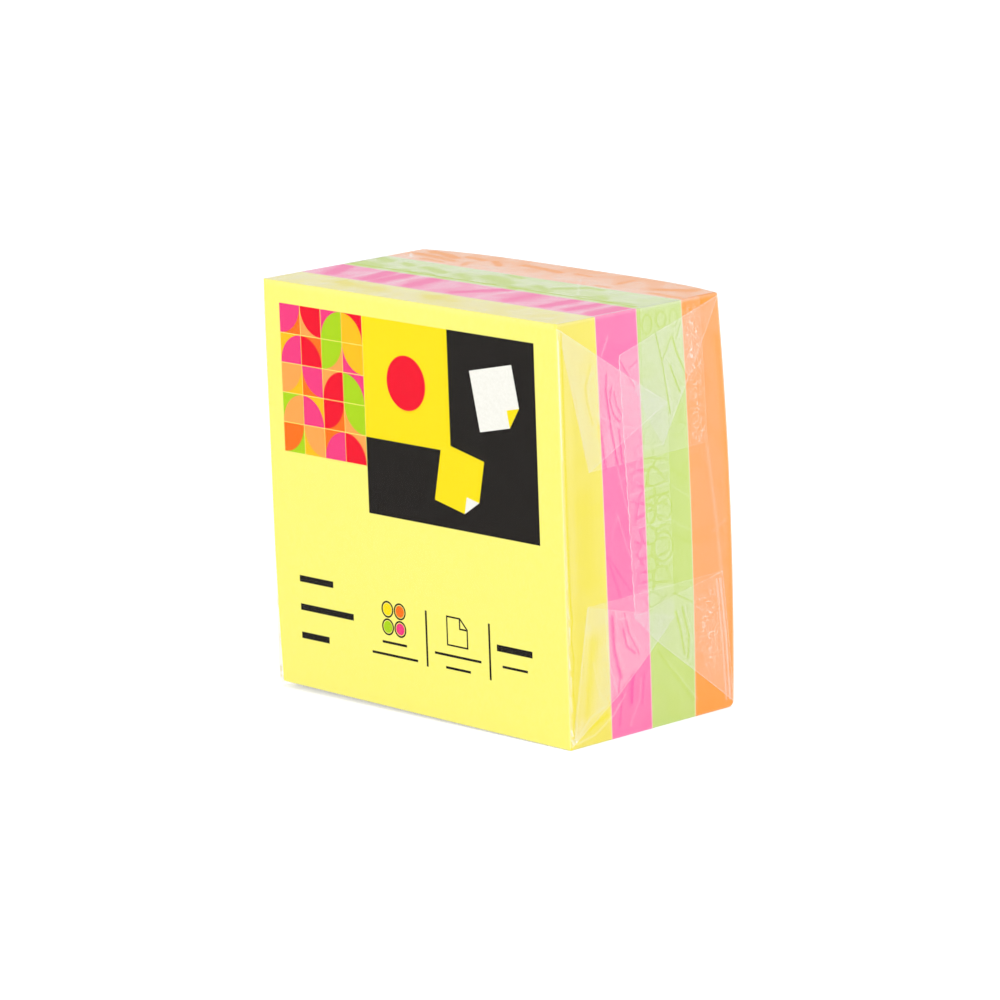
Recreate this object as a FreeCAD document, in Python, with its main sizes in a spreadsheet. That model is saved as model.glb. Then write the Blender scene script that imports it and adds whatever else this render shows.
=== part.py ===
import FreeCAD, Part
import math
import os
import re
import Sketcher

# A block of four sticky note pads, 76 mm square, under a printed front sheet and in a clear folded overwrap.
# The block stands on its bottom edge: X runs along the front, Y from front to back and Z up.
# The origin is at the middle of the footprint. The front sheet faces -Y, the folded ends face +X and -X.

doc = FreeCAD.newDocument("sticky_note_block")
sheet = doc.addObject("Spreadsheet::Sheet", "Sizes")

# Driving dimensions, in mm and degrees
SIZES = {
    # Paper, each pad's depth from its first sheet to its last
    "note_width": 76,
    "note_height": 76,
    "yellow_depth": 9.7,
    "pink_depth": 10.1,
    "green_depth": 10.7,
    "orange_depth": 9.1,
    "cover_depth": 0.1,
    # How far the last pad swells past its corners, at its top and bottom, at its sides and in its middle
    "edge_bulge": 3,
    "side_bulge": 1.3,
    "middle_bulge": 3.8,
    # Clear film, and how far its folds reach over the ends
    "film_thickness": 0.04,
    "film_clearance": 0.05,
    "top_tuck": 26.6,
    "bottom_tuck": 25,
    "front_flap": 26.2,
    "back_flap": 24.4,
    "seam_inset": 4.8,
    "seam_lap": 15.2,
    # Angle between the upright edge and the tuck's side crease, at each corner of an end
    "lean_top_front": 13.6,
    "lean_top_back": 30,
    "lean_bottom_front": 9.7,
    "lean_bottom_back": 5.4,
    # Print on the front sheet: the coloured fields hang from its top edge, between side margins
    "ink_depth": 0.02,
    "ink_gap": 0.15,
    "top_margin": 4,
    "left_margin": 4,
    "right_margin": 6,
    "tile_side": 5.5,
    "field_side": 22,
    "badge_radius": 5,
    "dark_height": 36,
    "card_side": 11,
    "card_fold": 3.2,
    "card_tilt": 12,
    "white_card_in": 10,
    "white_card_down": 11,
    "yellow_card_in": 20,
    "yellow_card_down": 27,
    # The small print stands above its bottom edge
    "heading_left": 6.5,
    "heading_up": 10,
    "heading_pitch": 5.3,
    "long_heading": 14.2,
    "middle_heading": 9,
    "short_heading": 7.4,
    "heading_width": 1.2,
    "rule_up": 10.1,
    "rule_pitch": 2.3,
    "long_rule": 12,
    "short_rule": 6.4,
    "rule_width": 0.45,
    "dot_left": 29.8,
    "dot_up": 15.5,
    "dot_pitch": 3.25,
    "dot_radius": 1.1,
    "outline_width": 0.3,
    "bar_up": 9.7,
    "bar_height": 10.3,
    "bar_width": 0.45,
    "first_bar_left": 39.7,
    "second_bar_left": 56,
    "page_left": 45.2,
    "page_up": 14.4,
    "page_side": 5.5,
    "page_fold": 1.9,
    "last_column": 62.6,
}
for row, (alias, value) in enumerate(SIZES.items(), start=1):
    sheet.set(f"A{row}", alias.replace("_", " "))
    sheet.set(f"B{row}", str(value))
    sheet.setAlias(f"B{row}", alias)
doc.recompute()

# Places that follow from the driving dimensions. Depths count from the front of the film.
FILM_GAP = "(film_thickness + film_clearance)"
INK_LAYERS = 3
COVER_FRONT = f"({FILM_GAP} + {INK_LAYERS} * ink_depth)"
YELLOW_FRONT = f"({COVER_FRONT} + cover_depth)"
PINK_FRONT = f"({YELLOW_FRONT} + yellow_depth)"
GREEN_FRONT = f"({PINK_FRONT} + pink_depth)"
ORANGE_FRONT = f"({GREEN_FRONT} + green_depth)"
FILM_BACK = f"({ORANGE_FRONT} + orange_depth + {FILM_GAP})"
BLOCK_MIDDLE = f"(({FILM_BACK} + middle_bulge) / 2)"
SEAM_END = f"({FILM_BACK} - seam_inset)"
SEAM_START = f"({SEAM_END} - seam_lap)"
FILM_TOP = f"(note_height + 2 * {FILM_GAP})"
HALF_NOTE = "(note_width / 2)"

# An end of the wrap is a stack of film layers on the cut edges of the pads
INNER_TUCK, OUTER_TUCK, BACK_GUSSET, BACK_FLAP, FRONT_GUSSET, FRONT_FLAP = range(6)
LAYERS = 6
END_INSIDE = f"({HALF_NOTE} + film_clearance)"
END_OUTSIDE = f"({END_INSIDE} + {LAYERS} * film_thickness)"

ON_END = FreeCAD.Rotation(FreeCAD.Vector(1, 1, 1), 120)
FACING_BACK = FreeCAD.Rotation(FreeCAD.Vector(1, 0, 0), -90)


def sized(expression):
    """Spell an expression of size names so that it reads the sheet."""
    return re.sub(r"[a-z_]+", lambda word: f"Sizes.{word[0]}" if word[0] in SIZES else word[0], expression)


def worth(expression):
    """Work out an expression of size names as a plain number."""
    return float(sheet.evalExpression(sized(expression)))


def bind(item, **expressions):
    """Bind properties to the sheet. A place is written at_x, at_y or at_z."""
    for name, expression in expressions.items():
        path = f"Placement.Base.{name[-1]}" if name.startswith("at_") else name
        item.setExpression(path, sized(expression))


def hold(sketch, geometry, end, across, up):
    """Hold one end of a line or arc at a point bound to the sheet."""
    for kind, expression in (("DistanceX", across), ("DistanceY", up)):
        held = Sketcher.Constraint(kind, -1, 1, geometry, end, worth(expression))
        sketch.setExpression(f"Constraints[{sketch.addConstraint(held)}]", sized(expression))


def outline(sketch, corners):
    """Draw a closed outline of straight lines whose corners are bound to the sheet."""
    points = [FreeCAD.Vector(worth(across), worth(up), 0) for across, up in corners]
    for number, point in enumerate(points):
        sketch.addGeometry(Part.LineSegment(point, points[(number + 1) % len(points)]), False)
    for number in range(len(points)):
        following = (number + 1) % len(points)
        sketch.addConstraint(Sketcher.Constraint("Coincident", number, 2, following, 1))
    for number, (across, up) in enumerate(corners):
        hold(sketch, number, 1, across, up)


def swollen_section(sketch, half, front, edge, middle):
    """Draw a level section with three straight sides and a back that swells from edge to middle."""
    reach, depth, rise = worth(half), worth(edge), worth(f"{middle} - {edge}")
    radius = f"({half} ^ 2 + ({middle} - {edge}) ^ 2) / (2 * ({middle} - {edge}))"
    centre = FreeCAD.Vector(0, depth + rise - worth(radius), 0)
    start = math.atan2(depth - centre.y, reach)
    corners = [(f"-1 * {half}", front), (half, front), (half, edge), (f"-1 * {half}", edge)]
    points = [FreeCAD.Vector(worth(across), worth(up), 0) for across, up in corners]
    circle = Part.Circle(centre, FreeCAD.Vector(0, 0, 1), worth(radius))
    sketch.addGeometry(Part.LineSegment(points[0], points[1]), False)
    sketch.addGeometry(Part.LineSegment(points[1], points[2]), False)
    sketch.addGeometry(Part.ArcOfCircle(circle, start, math.pi - start), False)
    sketch.addGeometry(Part.LineSegment(points[3], points[0]), False)
    for number in range(4):
        sketch.addConstraint(Sketcher.Constraint("Coincident", number, 2, (number + 1) % 4, 1))
        hold(sketch, number, 1, *corners[number])
    round_back = sketch.addConstraint(Sketcher.Constraint("Radius", 2, worth(radius)))
    sketch.setExpression(f"Constraints[{round_back}]", sized(radius))


def origin_plane(body, role):
    return next(item for item in body.Origin.OriginFeatures if item.Role == role)


def body_sketch(body, name, role):
    sketch = body.newObject("Sketcher::SketchObject", name)
    sketch.AttachmentSupport = (origin_plane(body, role), [""])
    sketch.MapMode = "FlatFace"
    return sketch


def slab(name, corners, depth):
    """Pad an upright outline towards the back by its depth, with its front face at the body's origin."""
    body = doc.addObject("PartDesign::Body", name)
    sketch = body_sketch(body, f"{name}_outline", "XZ_Plane")
    outline(sketch, corners)
    pad = body.newObject("PartDesign::Pad", f"{name}_depth")
    pad.Profile = sketch
    pad.Reversed = True
    bind(pad, Length=depth)
    return body


def window(body, name, corners, depth):
    """Cut an upright outline through a slab from its front face."""
    sketch = body_sketch(body, f"{name}_outline", "XZ_Plane")
    outline(sketch, corners)
    pocket = body.newObject("PartDesign::Pocket", name)
    pocket.Profile = sketch
    bind(pocket, Length=depth)


# Paper: three flat pads and the front sheet
def note_outline():
    return [(f"-1 * {HALF_NOTE}", "0"), (HALF_NOTE, "0"),
            (HALF_NOTE, "note_height"), (f"-1 * {HALF_NOTE}", "note_height")]


parts = {}
for node, front, depth in (
    ("cover_sheet", COVER_FRONT, "cover_depth"),
    ("pad_yellow", YELLOW_FRONT, "yellow_depth"),
    ("pad_pink", PINK_FRONT, "pink_depth"),
    ("pad_green", GREEN_FRONT, "green_depth"),
):
    parts[node] = slab(node, note_outline(), depth)
    bind(parts[node], at_y=f"{front} - {BLOCK_MIDDLE}", at_z=FILM_GAP)

# The last pad, whose back swells between the corners that the film holds in
SWELLING = (("bottom", "0", "0", "edge_bulge"), ("middle", "0.5", "side_bulge", "middle_bulge"),
            ("top", "1", "0", "edge_bulge"))
last_pad = doc.addObject("PartDesign::Body", "pad_orange")
sections = []
for level, share, at_side, at_middle in SWELLING:
    section = body_sketch(last_pad, f"pad_orange_{level}", "XY_Plane")
    section.setExpression("AttachmentOffset.Base.z", sized(f"{share} * note_height"))
    swollen_section(section, HALF_NOTE, "0", f"(orange_depth + {at_side})", f"(orange_depth + {at_middle})")
    sections.append(section)
swollen_pad = last_pad.newObject("PartDesign::AdditiveLoft", "pad_orange_sheets")
swollen_pad.Profile = sections[0]
swollen_pad.Sections = sections[1:]
bind(last_pad, at_y=f"{ORANGE_FRONT} - {BLOCK_MIDDLE}", at_z=FILM_GAP)
parts["pad_orange"] = last_pad


# Print: every field of one ink lies flat on the front sheet, or on the ink below it
def lay(item, left, up, layer):
    """Lay an inked shape on the front sheet at its place and in its layer."""
    bind(item, at_x=f"{left} - {HALF_NOTE}", at_z=f"{up} + {FILM_GAP}",
         at_y=f"{COVER_FRONT} - {layer + 1} * ink_depth - {BLOCK_MIDDLE}")
    return item


def field(name, left, up, width, height, layer=0):
    """A rectangle of ink."""
    box = doc.addObject("Part::Box", name)
    bind(box, Length=width, Width="ink_depth", Height=height)
    return lay(box, left, up, layer)


def disc(name, left, up, radius, layer=0, turns=0, sweep=360):
    """A disc of ink, or a sector that starts below its right-hand side."""
    cylinder = doc.addObject("Part::Cylinder", name)
    turned = FreeCAD.Rotation(FreeCAD.Vector(0, 1, 0), 90 * turns) * FACING_BACK
    cylinder.Placement = FreeCAD.Placement(FreeCAD.Vector(), turned)
    cylinder.Angle = sweep
    bind(cylinder, Radius=radius, Height="ink_depth")
    return lay(cylinder, left, up, layer)


def cut(name, base, tool):
    result = doc.addObject("Part::Cut", name)
    result.Base = base
    result.Tool = tool
    return result


def card(name, corners, left, up, layer, tilt):
    """A sheet shape of ink, tilted about the middle of the sheet."""
    shape = slab(name, corners, "ink_depth")
    shape.Placement = FreeCAD.Placement(FreeCAD.Vector(), FreeCAD.Rotation(FreeCAD.Vector(0, 1, 0), 1))
    shape.setExpression("Placement.Rotation.Angle", sized(f"{tilt} * card_tilt"))
    return lay(shape, left, up, layer)


inks = {ink: [] for ink in ("lime", "amber", "orange", "peach", "pink", "red", "bright", "white", "black")}

# Patchwork of square tiles, each with a quarter disc of another ink, from lime low left to red high right
TILE_COLUMNS = 4
TILE_ROWS = 5
ROWS_OF_ONE_SHADE = 2
QUARTER_SHADE_STEP = 2
TILE_INKS = ("lime", "amber", "orange", "peach", "pink", "red")
QUARTER_CORNERS = (("0", "1"), ("1", "1"), ("1", "0"), ("0", "0"))
ART_TOP = "(note_height - top_margin)"
TILE_FACE = "(tile_side - ink_gap)"
for column in range(TILE_COLUMNS):
    for tile_row in range(TILE_ROWS):
        name = f"tile_{column}_{tile_row}"
        shade = column + tile_row // ROWS_OF_ONE_SHADE
        quarter_shade = shade + QUARTER_SHADE_STEP + tile_row % ROWS_OF_ONE_SHADE
        turns = (column + QUARTER_SHADE_STEP * tile_row) % len(QUARTER_CORNERS)
        left = f"(left_margin + {column} * tile_side)"
        up = f"({ART_TOP} - {TILE_ROWS - tile_row} * tile_side + ink_gap)"
        inks[TILE_INKS[shade % len(TILE_INKS)]].append(field(name, left, up, TILE_FACE, TILE_FACE))
        right, high = QUARTER_CORNERS[turns]
        quarter = disc(f"{name}_quarter", f"{left} + {right} * {TILE_FACE}", f"{up} + {high} * {TILE_FACE}",
                       TILE_FACE, layer=1, turns=turns, sweep=90)
        inks[TILE_INKS[quarter_shade % len(TILE_INKS)]].append(quarter)

# Bright field with a round badge, in the notch of a dark field that reaches the right-hand margin
FIELD_LEFT = f"(left_margin + {TILE_COLUMNS} * tile_side)"
FIELD_UP = f"({ART_TOP} - field_side)"
DARK_RIGHT = "(note_width - right_margin)"
inks["bright"].append(field("bright_field", FIELD_LEFT, FIELD_UP, "field_side", "field_side"))
inks["red"].append(disc("badge", f"{FIELD_LEFT} + field_side / 2", f"{FIELD_UP} + field_side / 2",
                        "badge_radius", layer=1))
dark_field = cut(
    "dark_field",
    field("dark_area", FIELD_LEFT, f"{ART_TOP} - dark_height", f"{DARK_RIGHT} - {FIELD_LEFT}", "dark_height"),
    field("dark_notch", FIELD_LEFT, FIELD_UP, "field_side", "field_side"))
inks["black"].append(dark_field)

# Two tilted note sheets with a turned corner, on the dark field
SHEET_FAR = "(card_side / 2)"
SHEET_NEAR = "(-1 * card_side / 2)"
FOLD_AT = "(card_side / 2 - card_fold)"
FOLD_UP = "(card_fold - card_side / 2)"
SHEET_CORNERS = [(SHEET_NEAR, SHEET_NEAR), (FOLD_AT, SHEET_NEAR), (SHEET_FAR, FOLD_UP),
                 (SHEET_FAR, SHEET_FAR), (SHEET_NEAR, SHEET_FAR)]
TURNED_CORNER = [(FOLD_AT, SHEET_NEAR), (SHEET_FAR, FOLD_UP), (FOLD_AT, FOLD_UP)]
CARDS = (("white_card", "white", "bright", "-1"), ("yellow_card", "bright", "white", "1"))
for name, ink, fold_ink, tilt in CARDS:
    centre = (f"{DARK_RIGHT} - {name}_in", f"{ART_TOP} - {name}_down")
    inks[ink].append(card(name, SHEET_CORNERS, *centre, layer=1, tilt=tilt))
    inks[fold_ink].append(card(f"{name}_turned_corner", TURNED_CORNER, *centre, layer=2, tilt=tilt))

# Four outlined dots, one for each pad
DOTS = (("bright", 0, 1), ("orange", 1, 1), ("lime", 0, 0), ("pink", 1, 0))
for ink, across, high in DOTS:
    centre = (f"dot_left + {across} * dot_pitch", f"dot_up + {high} * dot_pitch")
    inks[ink].append(disc(f"dot_{ink}", *centre, "dot_radius"))
    ring = cut(f"ring_{ink}", disc(f"ring_{ink}_outside", *centre, "dot_radius + ink_gap + outline_width"),
               disc(f"ring_{ink}_inside", *centre, "dot_radius + ink_gap"))
    inks["black"].append(ring)

# Upright bars, and short rules at the left and centred on each column
for bar in ("first_bar", "second_bar"):
    inks["black"].append(field(bar, f"{bar}_left", "bar_up", "bar_width", "bar_height"))
for line, length in enumerate(("short_heading", "long_heading", "middle_heading")):
    inks["black"].append(field(f"heading_{line}", "heading_left", f"heading_up + {line} * heading_pitch",
                               length, "heading_width"))
COLUMN_MIDDLES = {"dots": "(dot_left + dot_pitch / 2)", "page": "(page_left + page_side / 2)",
                  "last": "last_column"}
RULE_LINES = (("dots", 0, "long_rule"), ("dots", 1, "short_rule"), ("page", 0, "short_rule"),
              ("page", 1, "long_rule"), ("last", 1, "short_rule"))
for column, line, length in RULE_LINES:
    inks["black"].append(field(f"{column}_rule_{line}", f"{COLUMN_MIDDLES[column]} - {length} / 2",
                               f"rule_up + {line} * rule_pitch", length, "rule_width"))
inks["black"].append(field("last_heading", "last_column - middle_heading / 2", "heading_up + heading_pitch",
                           "middle_heading", "heading_width"))

# A page with a turned corner, drawn in outline
PAGE_FOLD = "(page_side - page_fold)"
PAGE_INSIDE = "(page_side - outline_width)"
FOLD_INSIDE = "(page_side - page_fold - outline_width)"
SLANT_INSIDE = "(page_side - outline_width * 2 ^ 0.5)"
page = slab("page", [("0", "0"), ("page_side", "0"), ("page_side", PAGE_FOLD),
                     (PAGE_FOLD, "page_side"), ("0", "page_side")], "ink_depth")
window(page, "page_inside", [("outline_width", "outline_width"), (PAGE_INSIDE, "outline_width"),
                             (PAGE_INSIDE, FOLD_INSIDE), (FOLD_INSIDE, FOLD_INSIDE),
                             (FOLD_INSIDE, PAGE_INSIDE), ("outline_width", PAGE_INSIDE)], "ink_depth")
window(page, "page_corner", [(PAGE_FOLD, PAGE_FOLD), (SLANT_INSIDE, PAGE_FOLD),
                             (PAGE_FOLD, SLANT_INSIDE)], "ink_depth")
inks["black"].append(lay(page, "page_left", "page_up", 0))

for ink, shapes in inks.items():
    group = doc.addObject("Part::Compound", f"print_{ink}")
    group.Links = shapes
    parts[group.Name] = group


# Film: a tube round the front, top, back and bottom, closed by tucks and flaps over both ends
def film_body(name, inset):
    """The space inside the film's front, back, top and bottom, set in from its outer face."""
    sketches = []
    for level, share, at_side, at_middle in SWELLING:
        section = doc.addObject("Sketcher::SketchObject", f"{name}_{level}")
        bind(section, at_y=f"-1 * {BLOCK_MIDDLE}",
             at_z=f"{inset} + {share} * ({FILM_TOP} - 2 * {inset})")
        swollen_section(section, END_OUTSIDE, inset, f"({FILM_BACK} + {at_side} - {inset})",
                        f"({FILM_BACK} + {at_middle} - {inset})")
        sketches.append(section)
    loft = doc.addObject("Part::Loft", name)
    loft.Sections = sketches
    loft.Solid = True
    return loft


def fold(name, layer, corners, layers=1):
    """A flat piece of the wrap in one or more layers on the right-hand end."""
    sketch = doc.addObject("Sketcher::SketchObject", f"{name}_outline")
    sketch.Placement = FreeCAD.Placement(FreeCAD.Vector(), ON_END)
    bind(sketch, at_x=f"{END_INSIDE} + {layer} * film_thickness", at_y=f"-1 * {BLOCK_MIDDLE}")
    outline(sketch, corners)
    piece = doc.addObject("Part::Extrusion", name)
    piece.Base = sketch
    piece.DirMode = "Normal"
    piece.Solid = True
    bind(piece, LengthFwd=f"{layers} * film_thickness")
    return piece


def lean_point(side, edge, reach):
    """Where a tuck's side crease meets its free edge."""
    away = f"{reach} * tan(lean_{edge}_{side} * 1 deg)"
    depth = f"({away})" if side == "front" else f"({FILM_BACK} - {away})"
    height = f"({FILM_TOP} - {reach})" if edge == "top" else f"({reach})"
    return depth, height


def flap_point(side, edge, reach):
    """Where a flap's crease meets its free edge. To fold flat it slants by 45 degrees plus the lean."""
    along = f"{reach} / tan((45 + lean_{edge}_{side}) * 1 deg)"
    depth = reach if side == "front" else f"({FILM_BACK} - {reach})"
    height = f"({FILM_TOP} - {along})" if edge == "top" else f"({along})"
    return depth, height


outer = film_body("film_outside", "0 * film_thickness")
inner = film_body("film_inside", "film_thickness")
tube = cut("film_tube", outer, inner)

# The top and bottom of the tube end where they fold down over the ends
rims = []
for edge, height in (("top", f"{FILM_TOP} - film_thickness"), ("bottom", "0 * film_thickness")):
    rim = doc.addObject("Part::Box", f"rim_{edge}")
    bind(rim, Length=f"{LAYERS} * film_thickness", Width=f"{FILM_BACK} - 2 * film_thickness",
         Height="film_thickness", at_x=f"{END_INSIDE} + {BACK_GUSSET} * film_thickness",
         at_y=f"film_thickness - {BLOCK_MIDDLE}", at_z=height)
    mirrored = doc.addObject("Part::Mirroring", f"rim_{edge}_left")
    mirrored.Source = rim
    mirrored.Normal = FreeCAD.Vector(1, 0, 0)
    rims += [rim, mirrored]
rim_group = doc.addObject("Part::MultiFuse", "rims")
rim_group.Shapes = rims
tube = cut("film_trimmed_tube", tube, rim_group)

TOP_FRONT = ("0", FILM_TOP)
TOP_BACK = (FILM_BACK, FILM_TOP)
BOTTOM_FRONT = ("0", "0")
BOTTOM_BACK = (FILM_BACK, "0")
PAST_BACK = f"({FILM_BACK} + middle_bulge)"
TUCK_LOW = f"({FILM_TOP} - top_tuck)"
folds = [
    fold("inner_tuck", INNER_TUCK, [TOP_FRONT, (SEAM_END, FILM_TOP), (SEAM_END, TUCK_LOW),
                                    lean_point("front", "top", "top_tuck")]),
    fold("outer_tuck", OUTER_TUCK, [(SEAM_START, FILM_TOP), TOP_BACK,
                                    lean_point("back", "top", "top_tuck"), (SEAM_START, TUCK_LOW)]),
    fold("bottom_tuck_piece", OUTER_TUCK, [BOTTOM_FRONT, BOTTOM_BACK,
                                           lean_point("back", "bottom", "bottom_tuck"),
                                           lean_point("front", "bottom", "bottom_tuck")]),
    fold("back_flap_piece", BACK_FLAP, [TOP_BACK, flap_point("back", "top", "back_flap"),
                                        flap_point("back", "bottom", "back_flap"), BOTTOM_BACK,
                                        (PAST_BACK, "0"), (PAST_BACK, FILM_TOP)]),
    fold("front_flap_piece", FRONT_FLAP, [TOP_FRONT, flap_point("front", "top", "front_flap"),
                                          flap_point("front", "bottom", "front_flap"), BOTTOM_FRONT]),
]
for side, edge, layer, corner in (("back", "top", BACK_GUSSET, TOP_BACK),
                                  ("back", "bottom", BACK_GUSSET, BOTTOM_BACK),
                                  ("front", "top", FRONT_GUSSET, TOP_FRONT),
                                  ("front", "bottom", FRONT_GUSSET, BOTTOM_FRONT)):
    crease_end = lean_point(side, edge, f"{edge}_tuck")
    folds.append(fold(f"{edge}_{side}_gusset", layer,
                      [corner, crease_end, flap_point(side, edge, f"{side}_flap")]))

# Where a front gusset turns back over its tuck, the crease runs through the layers between them
for edge, corner, layer in (("top", TOP_FRONT, INNER_TUCK), ("bottom", BOTTOM_FRONT, OUTER_TUCK)):
    depth, height = lean_point("front", edge, f"{edge}_tuck")
    crease = [corner, (depth, height), (f"{depth} + film_thickness", height), ("film_thickness", corner[1])]
    folds.append(fold(f"{edge}_crease", layer, crease, layers=FRONT_GUSSET - layer + 1))

folded = doc.addObject("Part::MultiFuse", "folded_end")
folded.Shapes = folds
right_end = doc.addObject("Part::MultiCommon", "right_end")
right_end.Shapes = [folded, outer]
left_end = doc.addObject("Part::Mirroring", "left_end")
left_end.Source = right_end
left_end.Normal = FreeCAD.Vector(1, 0, 0)

# The film's long edges overlap along the top of the block
seam = doc.addObject("Part::Box", "seam")
SEAM_HALF = f"({END_INSIDE} + {BACK_GUSSET} * film_thickness)"
bind(seam, Length=f"2 * {SEAM_HALF}", Width="seam_lap", Height="film_thickness",
     at_x=f"-1 * {SEAM_HALF}", at_y=f"{SEAM_START} - {BLOCK_MIDDLE}", at_z=FILM_TOP)

film = doc.addObject("Part::MultiFuse", "film_wrap")
film.Shapes = [tube, right_end, left_end, seam]
parts["film_wrap"] = film

doc.recompute()
for item in doc.Objects:
    if "Invalid" in item.State or "Error" in item.State:
        raise RuntimeError(f"{item.Name} could not be worked out: {item.State}")
os.makedirs("parts", exist_ok=True)
for node, item in parts.items():
    item.Label = node
    if item.Shape.isNull() or not item.Shape.isValid():
        raise RuntimeError(f"{node} has no valid shape")
    item.Shape.exportStep(f"parts/{node}.step")
    box = item.Shape.BoundBox
    print(f"{node}: {len(item.Shape.Solids)} solids, {item.Shape.Volume:.3f} mm3, "
          f"{box.XLength:.2f} x {box.YLength:.2f} x {box.ZLength:.2f} mm")
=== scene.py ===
# %% [markdown]
# # A wrapped block of sticky notes
# The object is four square pads of sticky notes, yellow, pink, green and orange, stacked behind a
# printed front sheet and folded into a clear film like a present. The solid shapes come from the
# CAD model. This file gives them their paper, ink and film, and lights them softly.

# %% The frame and the helpers that everything uses
import math

import bmesh
import bpy
import numpy as np
from mathutils import Matrix, Vector


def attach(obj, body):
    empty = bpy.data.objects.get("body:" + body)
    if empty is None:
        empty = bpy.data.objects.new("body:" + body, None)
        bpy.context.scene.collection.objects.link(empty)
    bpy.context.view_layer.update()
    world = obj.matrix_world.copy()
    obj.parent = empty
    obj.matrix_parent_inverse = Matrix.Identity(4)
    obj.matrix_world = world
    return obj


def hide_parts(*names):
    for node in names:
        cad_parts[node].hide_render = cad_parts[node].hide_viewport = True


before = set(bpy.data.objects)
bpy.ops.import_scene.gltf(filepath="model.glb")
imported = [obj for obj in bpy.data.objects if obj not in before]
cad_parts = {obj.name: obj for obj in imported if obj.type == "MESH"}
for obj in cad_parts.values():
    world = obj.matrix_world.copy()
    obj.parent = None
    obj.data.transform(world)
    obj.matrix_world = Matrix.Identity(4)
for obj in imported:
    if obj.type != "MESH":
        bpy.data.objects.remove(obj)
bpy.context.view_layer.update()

MM = 0.001

# %% [markdown]
# ## Camera
# The photograph was taken with a long lens from the right of the front, slightly above the block
# and turned by about two degrees. A long lens far away keeps the edges almost parallel, so the
# position was fitted to the corners of the block instead of being judged by eye.

# %% Camera
SENSOR_PIXELS = 1000
FOCAL_PIXELS = 6300
CAMERA_PLACE = Vector((0.8066, -0.7646, 0.2775))
CAMERA_FORWARD = Vector((-0.70953, 0.67198, -0.21213)).normalized()
CAMERA_UP = Vector((-0.1298, 0.17125, 0.97664))

right = CAMERA_FORWARD.cross(CAMERA_UP).normalized()
up = right.cross(CAMERA_FORWARD)
lens = bpy.data.cameras.new("camera")
lens.sensor_width = 36
lens.lens = FOCAL_PIXELS * lens.sensor_width / SENSOR_PIXELS
lens.clip_start, lens.clip_end = 0.05, 20
camera = bpy.data.objects.new("camera", lens)
turn = Matrix((right, up, -CAMERA_FORWARD)).transposed().to_4x4()
camera.matrix_world = Matrix.Translation(CAMERA_PLACE) @ turn
bpy.context.scene.collection.objects.link(camera)
bpy.context.scene.camera = camera
print("lens", round(lens.lens, 1), "mm,", round(CAMERA_PLACE.length, 2), "m away")

# %% [markdown]
# ## Nodes and colours
# Every material below is a small network of nodes. One function adds a node, sets its options and
# links its inputs, and one turns a colour written as on a paint chart into the linear values that
# a renderer adds and multiplies.

# %% Nodes and colours
def linear(hex_colour):
    """An sRGB hex colour as linear red, green, blue and full alpha."""
    channels = [int(hex_colour[i:i + 2], 16) / 255 for i in (1, 3, 5)]
    return [c / 12.92 if c <= 0.04045 else ((c + 0.055) / 1.055) ** 2.4 for c in channels] + [1]


def add(tree, kind, inputs=None, **settings):
    """Add a node. Inputs maps a socket's name or number to a value or to another node's output."""
    node = tree.nodes.new(kind)
    for name, value in settings.items():
        setattr(node, name, value)
    for socket, value in (inputs or {}).items():
        if isinstance(value, bpy.types.NodeSocket):
            tree.links.new(value, node.inputs[socket])
        else:
            node.inputs[socket].default_value = value
    return node


def new_material(name):
    """An empty material: its tree and its output node."""
    material = bpy.data.materials.new(name)
    material.use_nodes = True
    material.node_tree.nodes.clear()
    output = add(material.node_tree, "ShaderNodeOutputMaterial")
    return material, material.node_tree, output


def object_scaled(tree, cycles_per_mm):
    """The object's own coordinates, scaled to so many pattern cycles per millimetre on each axis."""
    place = add(tree, "ShaderNodeTexCoord").outputs["Object"]
    scale = [c / MM for c in cycles_per_mm]
    return add(tree, "ShaderNodeMapping", {"Vector": place, "Scale": scale}).outputs[0]

# %% [markdown]
# ## Floor, world and lamps
# The product stands on seamless white. The lamps and the world light it at a plain level, and what
# the camera sees behind it is white because the world answers camera, mirror and glass rays with
# pure white. The floor keeps the soft shadow under the block.

# %% World
WORLD_LEVEL = 0.65


def ray_is_looking(tree):
    """1 for rays that end up in the picture as a view of this surface: camera, mirror and glass rays."""
    rays = add(tree, "ShaderNodeLightPath")
    looking = add(tree, "ShaderNodeMath",
                  {0: rays.outputs["Is Camera Ray"], 1: rays.outputs["Is Glossy Ray"]}, operation="MAXIMUM")
    looking = add(tree, "ShaderNodeMath",
                  {0: looking.outputs[0], 1: rays.outputs["Is Transmission Ray"]}, operation="MAXIMUM")
    return looking.outputs[0]


scene = bpy.context.scene
scene.view_settings.view_transform = "Standard"
scene.cycles.transparent_max_bounces = 64      # a ray may cross a dozen faces of film on each end
scene.cycles.max_bounces = 6
scene.cycles.diffuse_bounces = 2
scene.cycles.glossy_bounces = 2
world = bpy.data.worlds.new("studio")
scene.world = world
world.use_nodes = True
sky = world.node_tree
sky.nodes.clear()
light_side = add(sky, "ShaderNodeBackground", {"Color": (1, 1, 1, 1), "Strength": WORLD_LEVEL})
seen_side = add(sky, "ShaderNodeBackground", {"Color": (1, 1, 1, 1), "Strength": 1.0})
both = add(sky, "ShaderNodeMixShader",
           {0: ray_is_looking(sky), 1: light_side.outputs[0], 2: seen_side.outputs[0]})
add(sky, "ShaderNodeOutputWorld", {0: both.outputs[0]})

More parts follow.
